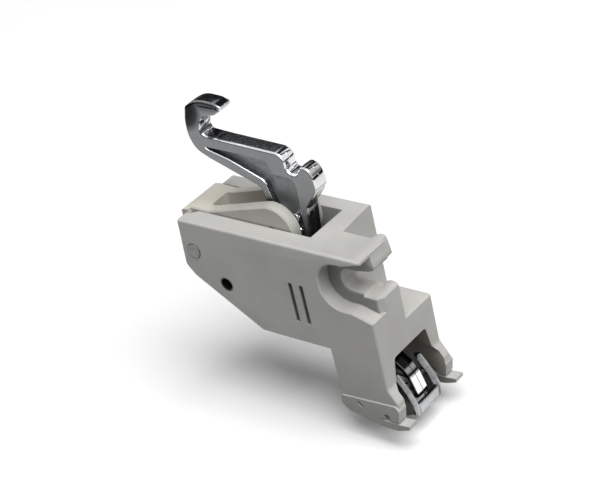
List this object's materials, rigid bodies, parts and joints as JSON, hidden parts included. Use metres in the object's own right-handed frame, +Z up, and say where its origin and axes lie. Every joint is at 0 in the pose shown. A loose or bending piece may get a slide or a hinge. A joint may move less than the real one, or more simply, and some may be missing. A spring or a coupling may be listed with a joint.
{
  "type": "walking foot holder",
  "caption": "Sewing machine walking foot holder: grey moulded shank with thumbscrew slot, pivoting chrome feed arm with drive hook, and steel coupling yoke between two legs",
  "frame": {"origin": "the screw slot's axis where it leaves the wing's inner face, the face that lies on the presser bar", "axes": "+X towards the person sewing, +Y to the machine's right, +Z up along the presser bar; millimetres in the source, metres in the record"},
  "size_m": [0.0435, 0.016, 0.0545],
  "materials": {
    "moulding": "satin grey moulded plastic",
    "link_moulding": "satin grey moulded plastic, slightly lighter",
    "chrome": "polished chrome plate over a casting",
    "yoke_steel": "bright rolled sheet",
    "pin_grey": "dull turned steel",
    "steel": "bright turned steel"
  },
  "bodies": {
    "holder": {"holder_body": "moulding", "link_pivot_pin": "pin_grey", "pin_ring": "steel"},
    "link": {"link_frame": "link_moulding", "arm_pivot_pin": "steel", "near_washer": "steel", "far_washer": "steel"},
    "arm": {"feed_arm": "chrome", "arm_stud": "steel"},
    "yoke": {"coupling_yoke": "yoke_steel", "yoke_pin": "steel"}
  },
  "joints": [
    {"name": "link_swing", "type": "hinge", "parent": "holder", "child": "link", "pos_m": [-0.0314, 0.001, 0.00045], "axis": [0, 1, 0], "range_deg": [0, 7], "stiffness_Nm_per_rad": 0.006, "springref_deg": -28.65},
    {"name": "arm_swing", "type": "hinge", "parent": "link", "child": "arm", "pos_m": [-0.0157, 0.001, 0.0055], "axis": [0, 1, 0], "range_deg": [-2, 5]},
    {"name": "yoke_tilt", "type": "hinge", "parent": "arm", "child": "yoke", "pos_m": [0.00395, 0.001, -0.0227], "axis": [0, 1, 0], "range_deg": [-8, 8]}
  ]
}
